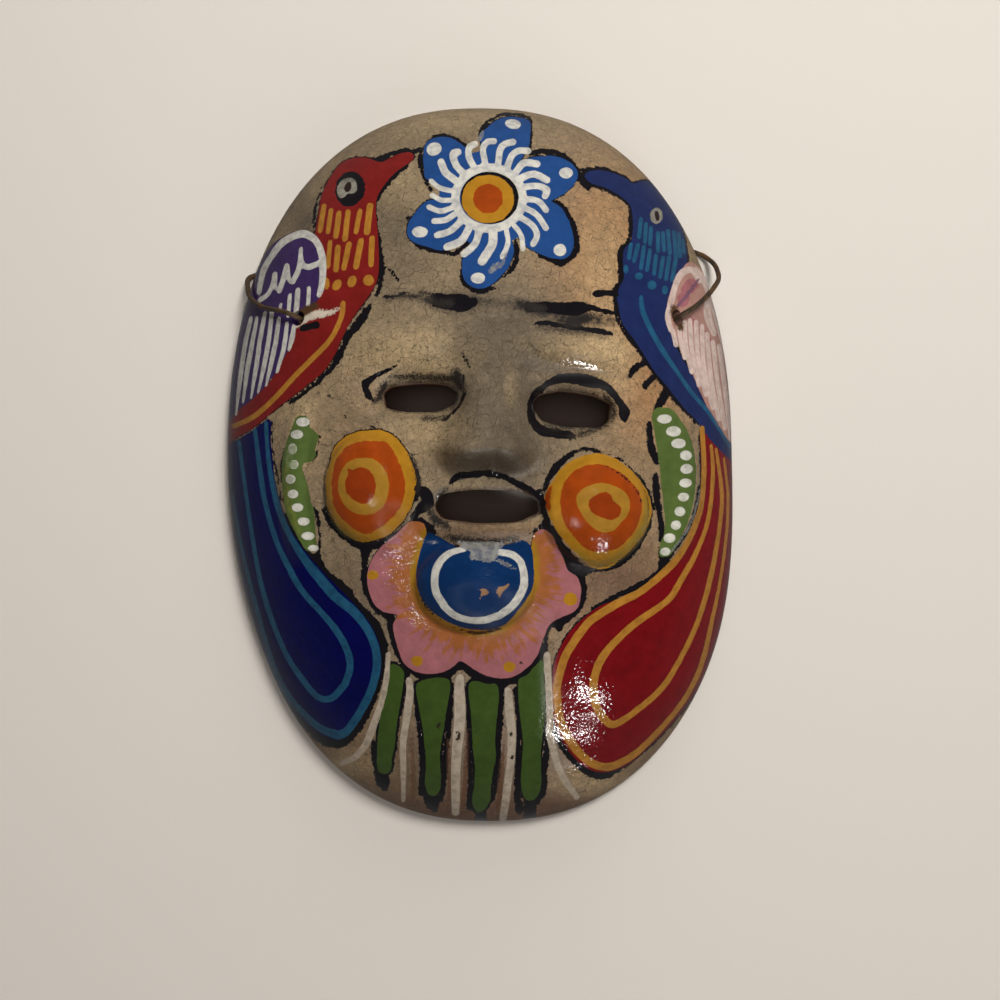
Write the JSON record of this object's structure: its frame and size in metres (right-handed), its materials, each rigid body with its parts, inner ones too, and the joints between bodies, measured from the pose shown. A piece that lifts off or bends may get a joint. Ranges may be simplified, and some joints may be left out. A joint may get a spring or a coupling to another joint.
{
  "type": "terracotta wall mask",
  "caption": "Painted hollow terracotta face mask with eye and mouth slits, cheek and chin lumps, lying on its flat rim with its iron hanging wire.",
  "frame": {"origin": "under the middle of the mask's outline, on the surface it lies on", "axes": "+Z out of the face, +Y up from chin to forehead, +X to the viewer's right"},
  "size_m": [0.106, 0.1496, 0.0401],
  "materials": {
    "painted_clay": "low fired clay with brushed bird, flower and leaf ornament in red, blue, purple, green, pink and orange under a worn semi-gloss varnish",
    "iron_wire": "dark annealed iron wire with brown rust"
  },
  "bodies": {
    "root": {"mask_shell": "painted_clay", "hanging_wire": "iron_wire"}
  },
  "joints": []
}
